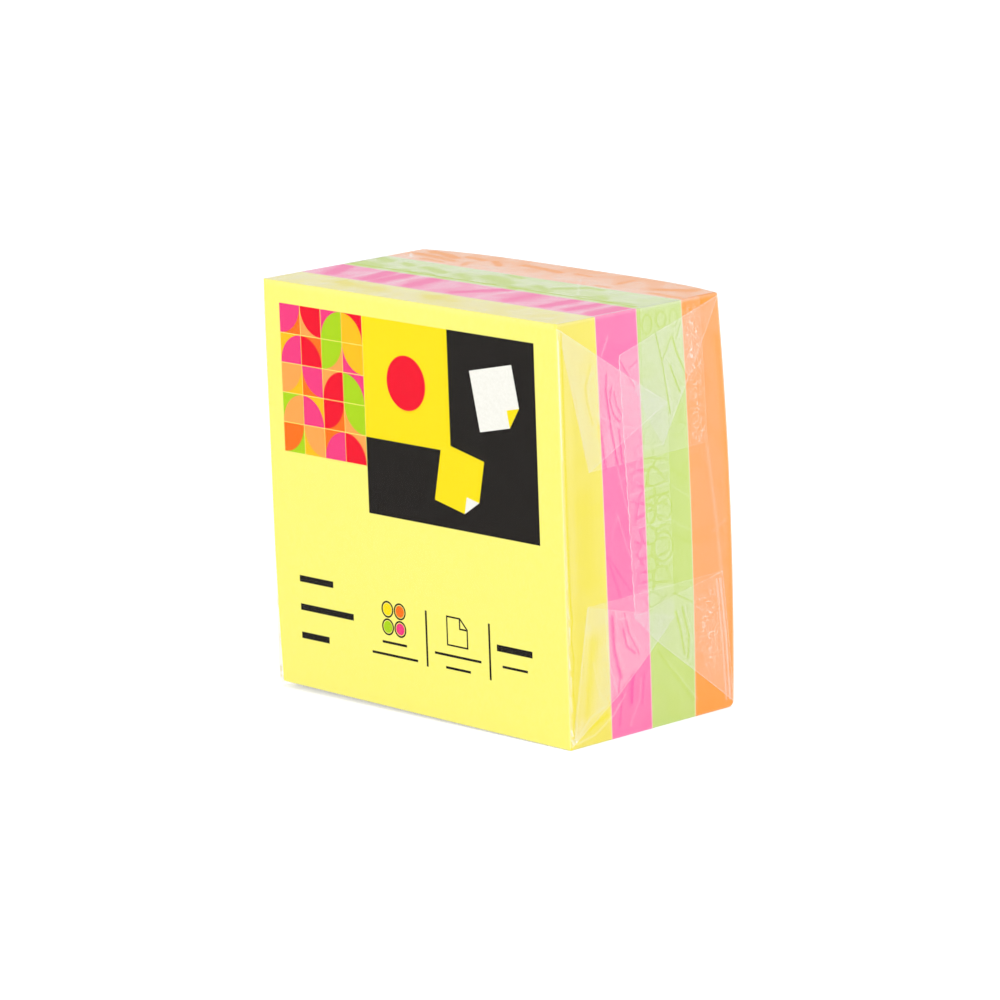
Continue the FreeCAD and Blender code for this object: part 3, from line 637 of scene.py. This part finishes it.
HAZES_AND_GLINTS = {                                      # lines that folding or stretching has turned white, and painted highlights and glints
    "front_flap": [
        # The strokes on the next six lines are a painted highlight along the near upright edge, with short
        # painted glints down its lower half and at its bottom corner.
        (0.5, 0.17, [(0.1, 1), (0.15, 30), (0.2, 55), (0.25, 74)]),
        (0.2, 0.5, [(0.1, 3), (0.15, 20), (0.2, 24)]), (0.2, 0.35, [(0.25, 36), (0.35, 47)]),
        (0.2, 0.4, [(0.3, 50.5), (0.6, 52.5)]), (0.2, 0.4, [(0.7, 54), (0.5, 57)]),
        (0.2, 0.45, [(0.2, 59), (0.5, 61.5)]), (0.2, 0.35, [(0.7, 63), (0.5, 66)]),
        (0.3, 0.35, [(0.4, 66.5), (0.55, 69)]), (0.3, 0.6, [(0.3, 72.4), (0.5, 73.4)]),
        (0.25, 0.5, [(0.4, 74.2), (0.7, 75)]), (0.3, 0.7, [(1.4, 74.7), (1.8, 75)]),
        (1.2, 0.04, [(2.3, 3), (2.2, 48)]), (0.22, 0.12, [(9, 17.4), (14, 20), (18.2, 21.3)]),
        (0.25, 0.1, [(13.4, 27.3), (15.2, 34.5), (16.2, 37)]),
        (0.25, 0.09, [(13.1, 36), (15.2, 42.5), (16, 44)]), (0.25, 0.06, [(13.1, 36), (11.5, 40)]),
        (0.25, 0.06, [(13.6, 30.6), (15.6, 29.4)]), (0.25, 0.1, [(11, 17), (11.7, 22), (12.6, 26.8)]),
        (0.25, 0.09, [(12.2, 10.8), (13.5, 12.5), (17.5, 14)]),
        (0.22, 0.12, [(16.6, 28.6), (21, 28.3), (26, 28.5)]),
        (0.22, 0.1, [(16.5, 29.9), (22, 29.7), (26, 30.1)]),
        (0.22, 0.14, [(16.4, 33), (21, 32.6), (26, 32.3)]),
        (0.25, 0.16, [(16.6, 39.1), (22, 39.2), (26, 38.9)]),
        (0.22, 0.12, [(16.5, 50.9), (21, 50.7), (26, 51)]), (0.3, 0.07, ring(24.4, 36.6, 1.5, 1.9)),
        (0.3, 0.07, ring(24, 43.6, 1.8, 2.2)), (0.9, 0.05, [(3, 8), (5, 15), (6.2, 24)]),
        (0.25, 0.06, [(3.2, 9), (4.6, 13), (5, 19), (6, 25)]),
        (0.25, 0.16, [(5.2, 51.6), (3.6, 60), (1.8, 71), (1.2, 74.6)]),
        (1.0, 0.1, [(5.2, 55), (4.2, 62), (2.8, 72)]), (0.25, 0.14, [(9.3, 53.3), (9.8, 62), (11.6, 68.2)]),
        (0.25, 0.1, [(6, 61), (7, 66.5), (9.2, 69.6)]), (0.25, 0.1, [(11.9, 54), (12.1, 60), (13.5, 64.5)]),
        (0.25, 0.1, [(14.6, 54.2), (15.4, 57.8), (18, 61.5)]),
        (0.25, 0.2, [(1.5, 74.4), (5, 71), (9, 69.7)]),
        (0.25, 0.12, [(11.6, 53), (12.4, 54.6), (15, 54.8)]),
    ],
    "back_flap": [
        (0.5, 0.08, [(35, 27.2), (36.3, 40), (37.2, 50.8)]), (0.4, 0.06, [(35.6, 43), (38.5, 41.4)]),
        (0.25, 0.06, [(26.6, 33), (31, 36)]), (0.25, 0.05, [(26.6, 39.5), (31, 42)]),
        (0.25, 0.08, [(26.8, 22), (28.9, 17.6)]), (0.3, 0.08, [(28.4, 9.5), (30.2, 13)]),
    ],
    "inner_tuck": [(0.25, 0.16, [(10.6, 7.2), (12.3, 4)])],
    "bottom_tuck": [
        (0.25, 0.18, [(1.5, 75.2), (6, 74.4), (10.5, 71.8), (13.6, 68.5)]),
        (0.25, 0.1, [(17.5, 66.4), (17, 70), (14.5, 74.5)]),
        (0.25, 0.35, [(36.9, 52), (38, 63), (38.9, 74.5)]),
        (0.22, 0.3, [(36.1, 52), (37.1, 63), (38, 74.5)]), (0.25, 0.08, [(24, 64.6), (31, 73)]),
    ],
}
CRINKLES = {                                   # patches of small sealed bubbles
    "inner_tuck": [(2.6, 1.0, [(32.8, 3), (33.1, 13)]), (2.4, 0.6, [(33.1, 13), (33.3, 25)]),
                   (3.5, 0.12, [(23, 3), (29, 3)])],
    "bottom_tuck": [(3.2, 0.75, [(34, 56), (35, 67)])],
    "front_flap": [(1.8, 0.22, [(10.4, 20.5), (11.2, 26)]), (1.2, 0.25, [(18, 27), (18, 31)]),
                   (1.2, 0.25, [(17.6, 44), (18, 47)])],
}
SEALS = {                                      # where two layers are welded in cells
    "front_flap": [(5.5, 1.0, [(21.3, 26), (21.5, 52)])],
    "back_flap": [(2.6, 0.5, [(28.5, 8), (29, 24)]), (2.6, 0.6, [(28.5, 52), (28.5, 62)]),
                  (5.0, 0.6, [(21.3, 26), (21.5, 52)])],
}
TOP_CLINGS = [                                 # on the top: u from the left, p from the front
    (1.3, 1.0, [(4, 38.5), (8, 38), (12.5, 36.3)]), (1.1, 1.0, [(3, 35.5), (8, 35), (14.5, 33.8)]),
    (0.9, 0.9, [(13.5, 38.5), (18.5, 37.8)]), (1.1, 0.9, [(28.5, 38.5), (34, 38), (39, 37)]),
    (1.0, 0.8, [(21, 38.2), (25, 35.4)]), (0.8, 0.6, [(42.5, 37.7), (46.5, 37.5)]),
    (1.5, 1.0, [(65.5, 35), (71.5, 38.4)]), (0.8, 0.8, [(55.6, 39), (56, 35)]),
    (1.2, 0.6, [(67, 32), (75, 31.5)]), (1.0, 0.6, [(8, 32.4), (14, 31.8)]),
    (0.9, 0.6, [(18, 34), (19.6, 31.2)]), (0.8, 0.6, [(54, 31.5), (57, 31.5)]),
    (1.6, 0.9, [(1, 28), (5, 26.5)]), (2.4, 1.0, [(1.5, 22.5), (7, 21.5)]),
    (1.4, 0.8, [(9, 26.8), (12, 25.6)]), (1.6, 0.9, [(15.5, 26), (22, 24)]),
    (2.4, 1.0, [(32, 26), (36, 25), (39, 23.5)]), (1.0, 0.8, [(34, 29.5), (38, 28.5)]),
    (1.4, 1.0, [(50.5, 24.5), (54.5, 28.6)]), (1.4, 0.8, [(26, 24.5), (31, 21.8)]),
    (1.0, 0.7, [(54, 28.8), (58, 28.8)]), (1.2, 0.8, [(62.5, 24), (65, 22.6)]),
    (1.6, 0.7, [(46, 24.5), (51, 22)]),
    (0.8, 0.8, [(12, 21.2), (14, 22), (17, 20.9), (19, 21.9), (23, 21.1)]),
    (0.9, 0.9, [(37, 21), (40, 22.1), (44, 21.3), (48, 21.9)]),
    (0.8, 0.7, [(59, 21.6), (61, 22.4), (66, 21.2), (73, 22)]), (2.2, 1.0, [(2.5, 18.5), (6, 11.5)]),
    (2.2, 1.0, [(14, 18.5), (15.5, 11.5)]), (2.2, 1.0, [(18.8, 18.5), (18.8, 11.5)]),
    (2.4, 1.0, [(26, 18.8), (27, 11.5)]), (1.8, 1.0, [(44.5, 19.2), (41.5, 15), (38.5, 11.3)]),
    (3.0, 0.6, [(52, 18), (52, 12)]), (1.8, 1.0, [(62, 18.8), (61.5, 11.5)]),
    (1.6, 1.0, [(68, 18.8), (67.5, 11.5)]), (2.4, 1.0, [(73.8, 18.8), (74, 11.5)]),
    (3.0, 0.4, [(14, 6), (25, 5)]), (3.0, 0.4, [(37, 6), (45, 5)]),
]
# Whitened creases and a scratch on the top; the first stroke is a painted glint near the left end.
TOP_HAZES_AND_GLINTS = [
    (0.3, 0.5, [(2.3, 34.5), (3.8, 33.2), (5, 32)]), (0.22, 0.2, [(46.5, 35), (52.5, 28.6), (58.5, 22.5)]),
    (0.6, 0.14, [(11.5, 19), (13, 2)]), (0.5, 0.12, [(2, 9), (5, 3)]), (0.6, 0.14, [(70.5, 19), (71, 3)]),
    (0.5, 0.12, [(64.8, 19), (65, 4)]), (0.6, 0.16, [(47, 19), (44.8, 11)]),
    (0.9, 0.14, [(22.2, 19), (22.2, 11)]),
]
BACK_CLINGS = [                                # on the back: x and z
    (4.0, 0.8, [(-20, 52), (-6, 58), (10, 55)]), (5.0, 0.9, [(-14, 30), (4, 26), (18, 31)]),
    (3.0, 0.7, [(20, 46), (26, 40)]), (3.0, 0.7, [(-28, 22), (-24, 34)]), (2.0, 0.6, [(-4, 10), (8, 8)]),
    (2.5, 0.6, [(-10, 68), (2, 70)]),
]
BACK_HAZES = [
    (0.7, 0.12, [(-37, 75), (-24, 60), (-15, 52)]), (0.7, 0.12, [(37, 75), (25, 62), (17, 51)]),
    (0.7, 0.1, [(-37, 1), (-22, 13), (-12, 20)]), (0.7, 0.1, [(37, 1), (23, 14), (13, 23)]),
    (0.9, 0.07, [(-37, 38), (-20, 40), (0, 38.5)]), (0.9, 0.07, [(37, 34), (22, 36), (6, 34)]),
    (0.7, 0.08, [(-30, 75), (-19, 63), (-12, 50)]), (0.7, 0.08, [(30, 1), (19, 12), (9, 19)]),
]
print(len(CLINGS), "wet strokes and", sum(map(len, HAZES_AND_GLINTS.values())), "white lines on each end")

# %% [markdown]
# ## The folds of one end
# The film stands out beyond the block like the paper of a present, and each end is closed in the
# same order. The top is tucked down and the bottom up, then the back flap is folded over them,
# then the front flap, and a hot plate welds them together. A flap folded from a tube has slanted
# sides, and behind each side a triangle of doubled film, the gusset.

# %% The folds of one end
TUCK_EDGE = -0.6         # each fold starts this far before the edge of the block
FOLDS = {                # layer, edge it turns round, and corners (p, q, whiteness of the side that follows: whitened crease and painted highlight)
    "inner_tuck": (0, "top", [(0.2, -0.6, 0), (35.2, -0.6, 0.2), (35.2, 26.6, 0.16), (6.6, 27.3, 0.08),
                              (0.2, 0.4, 0)]),
    "bottom_tuck": (0, "bottom", [(0.5, 75.5, 0.2), (5.2, 51.2, 0.16), (37.5, 50.7, 0.35), (39.8, 75, 0),
                                  (39.3, 76.73, 0), (0.5, 76.73, 0)]),
    "outer_tuck": (1, "top", [(20.5, -0.6, 0), (39.8, -0.6, 0), (39.8, 0.5, 0.4), (24.9, 25.3, 0),
                              (20.5, 25.9, 0.08)]),
    "top_back_gusset": (2, None, [(39.9, 0.4, 0), (24.9, 25.3, 0.25), (21.5, 20, 0.1), (14.8, 7.8, 0)]),
    "bottom_back_gusset": (2, None, [(39.8, 75, 0), (21.5, 60.3, 0), (16.5, 55, 0.3), (37.5, 50.7, 0)]),
    "back_flap": (3, "back", [(40.6, 0.4, 0), (39.9, 0.4, 0.42), (14.8, 7.7, 0.9), (16.5, 55.3, 0.42),
                              (21.5, 60.3, 0.42), (39.9, 75.3, 0), (40.6, 75.6, 0)]),
    "top_front_gusset": (4, None, [(0.2, 0.8, 0), (26.2, 17.8, 0.5), (6.6, 27.3, 0)]),
    "bottom_front_gusset": (4, None, [(0.5, 75.5, 0), (5.2, 51.2, 0.16), (26, 56.7, 0), (20, 62, 0)]),
    "front_flap": (5, "front", [(-0.6, 0.5, 0), (0, 0.8, 0.4), (26.2, 17.8, 0.06), (26, 56.7, 0.4),
                                (20, 62, 0.42), (11.7, 68.5, 0.42), (0.5, 75.5, 0), (-0.6, 75.7, 0)]),
}
TUCK_GRIP = {            # share of a fold's mirror lost where the seal holds it to the last pad
    "inner_tuck": 0.75, "outer_tuck": 0.8, "bottom_tuck": 0.75,
    "top_back_gusset": 0.5, "bottom_back_gusset": 0.7,
}
WET_STROKE = 0.9         # share of both mirrors lost in a wet stroke
LIT_SIDE_HIGHLIGHT = 0.05        # strength of the painted highlight on the lit side of a wet stroke
TIGHT_SHEEN = 0.05       # what is left of the mirror where the film lies tight on the printed sheet
LINE_LIFT = 0.03         # mm, how far a whitened line stands up
TOOTH = 0.2              # mm, how deep the notches in the sealed edge of the back flap are


def toothed(flat):
    """Notch the back flap's free edge, which the cutter tore a little."""
    p, q = flat[:, 0], flat[:, 1]
    edge = 14.8 + (q - 7.7) * (16.5 - 14.8) / (55.3 - 7.7)
    near = np.clip(1 - (p - edge) / 1.5, 0, 1)
    notch = 2 * np.abs((q * 0.61 + 0.35 * np.sin(q * 0.83)) % 1 - 0.5) * (0.55 + 0.45 * np.sin(q * 1.9))
    return np.stack([p + TOOTH * near * (2 * notch - 0.6), q], axis=1)


def on_end(flat, layer, edge, lift):
    """Fold flat points (p, q) onto the right-hand end, round the edge of the block that they cross."""
    p, q = flat[:, 0], flat[:, 1]
    side = SIDE_SWELL * (1 - np.clip(np.abs(q - 38) / 38, 0, 1) ** 2)
    reach = DEPTH_AT_CORNERS - 28
    stretch = np.where(p > 28, 1 + side / reach, 1)
    out = FILM_END + LAYER_STEP * layer + lift
    y = np.where(p > 28, 28 + (p - 28) * stretch, p) + FILM_FRONT
    points = np.stack([out, y, FILM_TOP - q], axis=1)
    if edge is None:
        return points, np.full(len(p), 9.0)
    past = {"front": p, "back": (DEPTH_AT_CORNERS - p) * stretch, "top": q,
            "bottom": FILM_TOP - FILM_BOTTOM - q}[edge][:, None]
    inward = np.array({"front": (0, 1, 0), "back": (0, -1, 0), "top": (0, 0, -1), "bottom": (0, 0, 1)}[edge])
    corner = points - past * inward
    along_block = corner + past * np.array([1, 0, 0])
    before = corner + np.array([-BEND_RADIUS, 0, 0])
    bend = rounded(before, corner, corner + BEND_RADIUS * inward,
                   np.clip((past[:, 0] + BEND_RADIUS) / (2 * BEND_RADIUS), 0, 1))
    folded = np.where(past > BEND_RADIUS, points, np.where(past < -BEND_RADIUS, along_block, bend))
    return folded, past[:, 0]


def add_to(whole, sheet, points, **marks):
    """Move a flat sheet's points to their folded places, in metres, and add it to the whole."""
    layers = [sheet.verts.layers.float.new(mark_name) for mark_name in MARKS]
    flat_layer = sheet.verts.layers.float_vector.new("flat_place")
    columns = [np.broadcast_to(marks.get(mark_name, 0.0), len(points)) for mark_name in MARKS]
    values = np.stack(columns, axis=1)
    for vert, point, row in zip(sheet.verts, slumped(points), values):
        vert[flat_layer] = vert.co
        vert.co = Vector(point) * MM
        for layer, value in zip(layers, row):
            vert[layer] = value
    part = bpy.data.meshes.new("part")
    sheet.to_mesh(part)
    sheet.free()
    whole.from_mesh(part)
    bpy.data.meshes.remove(part)


def new_whole():
    """An empty bmesh that carries every mark."""
    whole = bmesh.new()
    for mark_name in MARKS:
        whole.verts.layers.float.new(mark_name)
    whole.verts.layers.float_vector.new("flat_place")
    return whole


def finished(name, whole, film, inside_out):
    """A film piece of real thickness from a bmesh, riding on the block."""
    if inside_out:
        bmesh.ops.reverse_faces(whole, faces=whole.faces)
    for face in whole.faces:
        face.smooth = True
    mesh = bpy.data.meshes.new(name)
    whole.to_mesh(mesh)
    whole.free()
    mesh.materials.append(film)
    piece = bpy.data.objects.new(name, mesh)
    scene.collection.objects.link(piece)
    wall = piece.modifiers.new("film_thickness", "SOLIDIFY")
    wall.thickness = FILM_THICKNESS * MM
    wall.offset = -1
    bpy.context.view_layer.update()
    thick = bpy.data.meshes.new_from_object(piece.evaluated_get(bpy.context.evaluated_depsgraph_get()))
    piece.modifiers.clear()
    piece.data = thick
    thick.name = name
    thick.set_sharp_from_angle(angle=math.radians(40))
    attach(piece, "root")
    print(name, len(thick.polygons), "faces")
    return piece


def fold_piece(name, folds, side, step):
    """Some folds of one end, on the right for side 1 and mirrored on the left for side -1."""
    whole = new_whole()
    for fold in folds:
        layer, edge, outline = FOLDS[fold]
        low_p, high_p = min(c[0] for c in outline), max(c[0] for c in outline)
        low_q, high_q = min(c[1] for c in outline), max(c[1] for c in outline)
        bends_p = {"front": [0], "back": [DEPTH_AT_CORNERS]}.get(edge, [])
        bends_q = {"top": [0], "bottom": [FILM_TOP - FILM_BOTTOM]}.get(edge, [])
        sheet = grid_of(stations(low_p, high_p, step, bends_p), stations(low_q, high_q, step, bends_q))
        trim(sheet, outline)
        flat = np.array([vert.co[:2] for vert in sheet.verts])
        # The creases are partly whitened film and partly a painted highlight on the fold.
        creases = [(CREASE_WIDTH / 2, white, [start, end]) for start, end, white in sides(outline) if white]
        lines = strokes_at(flat, HAZES_AND_GLINTS.get(fold, []))
        haze = np.maximum(lines, strokes_at(flat, creases))
        if fold == "back_flap":
            flat = toothed(flat)
        points, past = on_end(flat, layer, edge, LINE_LIFT * np.minimum(lines * 2, 1) * (flat[:, 0] > 0.8))
        # Painted highlight along the line where each fold turns round the edge of the block, a little wider
        # and stronger on the top edge.
        haze = np.maximum(haze, 0.1 * np.exp(-(past / 0.25) ** 2))
        if edge == "top":
            haze = np.maximum(haze, 0.12 * np.exp(-((past - 0.1) / 0.4) ** 2))
        sheen = np.clip((past + BEND_RADIUS) / (2 * BEND_RADIUS), TIGHT_SHEEN, 1) if edge == "front" else 1.0
        if fold in TUCK_GRIP:
            sheen = 1 - TUCK_GRIP[fold] * np.clip((flat[:, 0] - 30.2) / 0.8, 0, 1)
        wet = strokes_at(flat, CLINGS)
        # Painted highlight: each wet stroke, shifted a little, adds whiteness on its lit side.
        beside = strokes_at(flat - np.array([0.35, 0.2]), CLINGS)
        haze = np.maximum(haze, LIT_SIDE_HIGHLIGHT * beside * (1 - wet))
        add_to(whole, sheet, points, wet=WET_STROKE * wet, haze=haze, sheen=sheen,
               crinkle=strokes_at(flat, CRINKLES.get(fold, [])),
               sealed=np.minimum(1.6 * strokes_at(flat, SEALS.get(fold, [])), 1))
    if side < 0:
        bmesh.ops.scale(whole, vec=(-1, 1, 1), verts=whole.verts)
    return finished(name, whole, welded_film, inside_out=side > 0)


PIECES = {
    "tucks": ["inner_tuck", "bottom_tuck", "outer_tuck"],
    "back_flap": ["top_back_gusset", "bottom_back_gusset", "back_flap"],
    "front_flap": ["top_front_gusset", "bottom_front_gusset", "front_flap"],
}
for end_name, side, step in (("right", 1, 0.25), ("left", -1, 0.5)):
    for piece_name, folds in PIECES.items():
        fold_piece(f"film_{end_name}_{piece_name}", folds, side, step)

# %% [markdown]
# ## The sleeve
# Between the two folded ends the film is one sheet that goes once round the block and laps over
# itself along the top, where the pack was welded shut. It is drawn as one flat grid, and each of
# its lines is carried round the block: forward over the top, down the front, back under the bottom,
# up the swollen back and forward again over the lap. On the top it touches the sheets' edges only
# in patches, and there the paper's colour comes through.

# %% The sleeve
SEAM_START, SEAM_END = 35.2, 20.5    # mm from the front, where the inner and outer ply end
SLEEVE_REACH = FILM_END + TUCK_EDGE
PLY_GAP = 0.03
TURN_RADII = (BEND_RADIUS, BEND_RADIUS, 1.2, BEND_RADIUS)
legs = [SEAM_START, FILM_TOP - FILM_BOTTOM, DEPTH_AT_CORNERS, FILM_TOP - FILM_BOTTOM,
        DEPTH_AT_CORNERS - SEAM_END]
turns = [0, *np.cumsum(legs)]


def unit(rows):
    """Each row scaled to length 1."""
    return rows / np.linalg.norm(rows, axis=1)[:, None]


def sleeve_corners(x):
    """The corners that the sleeve passes at each place along the block, as numpy rows (y, z)."""
    ones = np.ones_like(x)
    back_top = BLOCK_BACK + swell(x, 76 * ones)
    return [np.stack(pair, axis=1) for pair in [
        (FILM_FRONT + SEAM_START * ones, FILM_TOP * ones), (FILM_FRONT * ones, FILM_TOP * ones),
        (FILM_FRONT * ones, FILM_BOTTOM * ones), (back_top, FILM_BOTTOM * ones),
        (back_top, (FILM_TOP + PLY_GAP) * ones), (FILM_FRONT + SEAM_END * ones, (FILM_TOP + PLY_GAP) * ones)]]


def round_the_block(x, s):
    """Carry flat points, x along the block and s round it, to their places in mm."""
    corners = sleeve_corners(x)
    place = np.zeros((len(x), 2))
    for i, leg in enumerate(legs):
        share = np.clip((s - turns[i]) / leg, 0, 1)[:, None]
        here = (s >= turns[i] - 1e-6) & (s <= turns[i + 1] + 1e-6)
        place = np.where(here[:, None], corners[i] + share * (corners[i + 1] - corners[i]), place)
    up_back = (s > turns[3]) & (s < turns[4])
    place[:, 0] = np.where(up_back, BLOCK_BACK + swell(x, place[:, 1]), place[:, 0])
    for i, radius in zip(range(1, 5), TURN_RADII):
        to_turn = s - turns[i]
        corner = corners[i]
        before = corner + radius * unit(corners[i - 1] - corner)
        after = corner + radius * unit(corners[i + 1] - corner)
        bend = rounded(before, corner, after, np.clip((to_turn + radius) / (2 * radius), 0, 1))
        place = np.where((np.abs(to_turn) < radius)[:, None], bend, place)
    return np.stack([x, place[:, 0], place[:, 1]], axis=1)


along = stations(-SLEEVE_REACH, SLEEVE_REACH, 0.6)
LEG_STEPS = [(0, 1, 0.45), (1, 3, 1.3), (3, 4, 0.6), (4, 5, 0.45)]      # from turn, to turn, mm
places_round = set()
for first, last, step in LEG_STEPS:
    bends = turns[max(first, 1):min(last, 4) + 1]
    places_round |= set(stations(turns[first], turns[last], step, bends))
around = sorted(places_round)
sheet = grid_of(along, around)
flat = np.array([vert.co[:2] for vert in sheet.verts])
x, s = flat[:, 0], flat[:, 1]
points = round_the_block(x, s)
over_top = (s < turns[1]) | (s > turns[4])
top_place = np.stack([points[:, 0] + HALF_WIDTH, points[:, 1] - FILM_FRONT], axis=1)
patches = np.where(over_top, np.minimum(1.5 * strokes_at(top_place, TOP_CLINGS), 1), 0)
BASE_GRIP = 0.38                     # cling anywhere on the top, and what is added between two depths
MORE_GRIP = [(9.5, 20.5, 0.2), (20.8, 27, 0.2), (33, 44, 0.3)]
depth = top_place[:, 1]
grip = BASE_GRIP + sum(more * np.clip((depth - low) / 1.5, 0, 1) * np.clip((high - depth) / 1.5, 0, 1)
                       for low, high, more in MORE_GRIP)
outer_ply = (s > turns[4]) | (top_place[:, 1] < SEAM_END)
haze = np.where(over_top & outer_ply, strokes_at(top_place, TOP_HAZES_AND_GLINTS), 0)
on_back = (s > turns[3] + BEND_RADIUS) & (s < turns[4] - BEND_RADIUS)
back_place = points[:, [0, 2]]
patches = np.where(on_back, strokes_at(back_place, BACK_CLINGS), patches)
haze = np.where(on_back, strokes_at(back_place, BACK_HAZES), haze)
# Painted highlight along each of the four bends of the sleeve.
for turn_place in turns[1:5]:
    haze = np.maximum(haze, 0.08 * np.exp(-((s - turn_place) / 0.25) ** 2))
on_front = np.clip(np.minimum(s - turns[1], turns[2] - s) / BEND_RADIUS + 0.5, 0, 1)
sheen = np.where(over_top, np.where(outer_ply, 0.78, 0.2), 1.0) * (1 - on_front) + TIGHT_SHEEN * on_front
whole = new_whole()
add_to(whole, sheet, points, cling=np.where(over_top, grip, 0) + patches,
       wet=0.4 * patches, haze=haze, sheen=sheen)
film_sleeve = finished("film_sleeve", whole, smooth_film, inside_out=True)
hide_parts("film_wrap")
